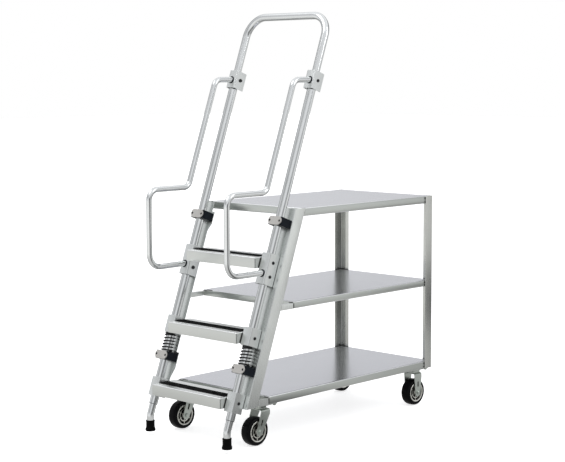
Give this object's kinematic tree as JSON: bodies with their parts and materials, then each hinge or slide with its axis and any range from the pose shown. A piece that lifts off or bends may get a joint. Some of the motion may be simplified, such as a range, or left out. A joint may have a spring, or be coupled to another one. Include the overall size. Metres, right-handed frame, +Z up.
{
  "type": "ladder picking cart",
  "caption": "Wheeled aluminium shelf cart with a leaning step ladder on one end, side handrails and a top hoop; springs lift the ladder's feet off the floor.",
  "frame": {"origin": "on the floor, under the middle of the object's bounding box", "axes": "+Z up; -Y towards the ladder and the person climbing it; +X to the climber's right"},
  "size_m": [0.5812, 1.3606, 1.8727],
  "materials": {
    "shelf_aluminium": "satin mill finish sheet, faint soft reflections",
    "frame_aluminium": "satin mill finish, bright edges",
    "tube_aluminium": "drawn tube, bright with lengthwise streaks",
    "bracket_aluminium": "satin mill finish, fine lengthwise grain",
    "step_aluminium": "brushed, fine grain along the step",
    "clamp_plate_casting": "rough cast, matt beige grey",
    "slide_block_plastic": "black machined plastic",
    "spring_steel": "black coated spring wire",
    "grip_strip": "coarse black anti-slip strip",
    "foot_rubber": "matt black rubber",
    "tyre_rubber": "smooth black tread",
    "wheel_hub": "light grey cast centre, slightly rough",
    "caster_zinc": "zinc plated pressed steel"
  },
  "bodies": {
    "cart": {"top_shelf": "shelf_aluminium", "middle_shelf": "shelf_aluminium", "bottom_shelf": "shelf_aluminium", "rear_post_left": "frame_aluminium", "front_upright_left": "frame_aluminium", "middle_side_bracket_left": "frame_aluminium", "bottom_side_bracket_left": "frame_aluminium", "slide_block_lower_left": "slide_block_plastic", "clamp_plate_lower_left": "clamp_plate_casting", "slide_block_upper_left": "slide_block_plastic", "clamp_plate_upper_left": "clamp_plate_casting", "lift_spring_left": "spring_steel", "front_caster_plate_left": "caster_zinc", "rear_caster_fork_left": "caster_zinc", "rear_post_right": "frame_aluminium", "front_upright_right": "frame_aluminium", "middle_side_bracket_right": "frame_aluminium", "bottom_side_bracket_right": "frame_aluminium", "slide_block_lower_right": "slide_block_plastic", "clamp_plate_lower_right": "clamp_plate_casting", "slide_block_upper_right": "slide_block_plastic", "clamp_plate_upper_right": "clamp_plate_casting", "lift_spring_right": "spring_steel", "front_caster_plate_right": "caster_zinc", "rear_caster_fork_right": "caster_zinc"},
    "ladder": {"top_hoop": "tube_aluminium", "stile_left": "tube_aluminium", "leg_left": "tube_aluminium", "rubber_foot_left": "foot_rubber", "hoop_bracket_left": "bracket_aluminium", "handrail_left": "tube_aluminium", "step_bracket_lower_left": "bracket_aluminium", "step_bracket_middle_left": "bracket_aluminium", "step_bracket_upper_left": "bracket_aluminium", "stile_right": "tube_aluminium", "leg_right": "tube_aluminium", "rubber_foot_right": "foot_rubber", "hoop_bracket_right": "bracket_aluminium", "handrail_right": "tube_aluminium", "step_bracket_lower_right": "bracket_aluminium", "step_bracket_middle_right": "bracket_aluminium", "step_bracket_upper_right": "bracket_aluminium", "step_lower": "step_aluminium", "grip_strip_lower": "grip_strip", "step_middle": "step_aluminium", "grip_strip_middle": "grip_strip", "step_upper": "step_aluminium", "grip_strip_upper": "grip_strip"},
    "front_swivel_left": {"front_caster_fork_left": "caster_zinc"},
    "front_swivel_right": {"front_caster_fork_right": "caster_zinc"},
    "front_wheel_left": {"tyre_front_left": "tyre_rubber", "hub_front_left": "wheel_hub"},
    "front_wheel_right": {"tyre_front_right": "tyre_rubber", "hub_front_right": "wheel_hub"},
    "rear_wheel_left": {"tyre_rear_left": "tyre_rubber", "hub_rear_left": "wheel_hub"},
    "rear_wheel_right": {"tyre_rear_right": "tyre_rubber", "hub_rear_right": "wheel_hub"}
  },
  "joints": [
    {"name": "ladder_slide", "type": "slide", "parent": "cart", "child": "ladder", "axis": [0, 0.3462, 0.9382], "range_m": [-0.019, 0], "stiffness_N_per_m": 9000, "springref_m": 0.025, "deforming": ["lift_spring_left", "lift_spring_right"]},
    {"name": "front_swivel_left", "type": "hinge", "parent": "cart", "child": "front_swivel_left", "pos_m": [-0.2324, -0.4437, 0.15], "axis": [0, 0, 1], "continuous": true},
    {"name": "front_wheel_spin_left", "type": "hinge", "parent": "front_swivel_left", "child": "front_wheel_left", "pos_m": [-0.2324, -0.4797, 0.0635], "axis": [1, 0, 0], "continuous": true},
    {"name": "rear_wheel_spin_left", "type": "hinge", "parent": "cart", "child": "rear_wheel_left", "pos_m": [-0.2324, 0.61191, 0.0635], "axis": [1, 0, 0], "continuous": true},
    {"name": "front_swivel_right", "type": "hinge", "parent": "cart", "child": "front_swivel_right", "pos_m": [0.2324, -0.4437, 0.15], "axis": [0, 0, 1], "continuous": true},
    {"name": "front_wheel_spin_right", "type": "hinge", "parent": "front_swivel_right", "child": "front_wheel_right", "pos_m": [0.2324, -0.4797, 0.0635], "axis": [1, 0, 0], "continuous": true},
    {"name": "rear_wheel_spin_right", "type": "hinge", "parent": "cart", "child": "rear_wheel_right", "pos_m": [0.2324, 0.61191, 0.0635], "axis": [1, 0, 0], "continuous": true}
  ]
}
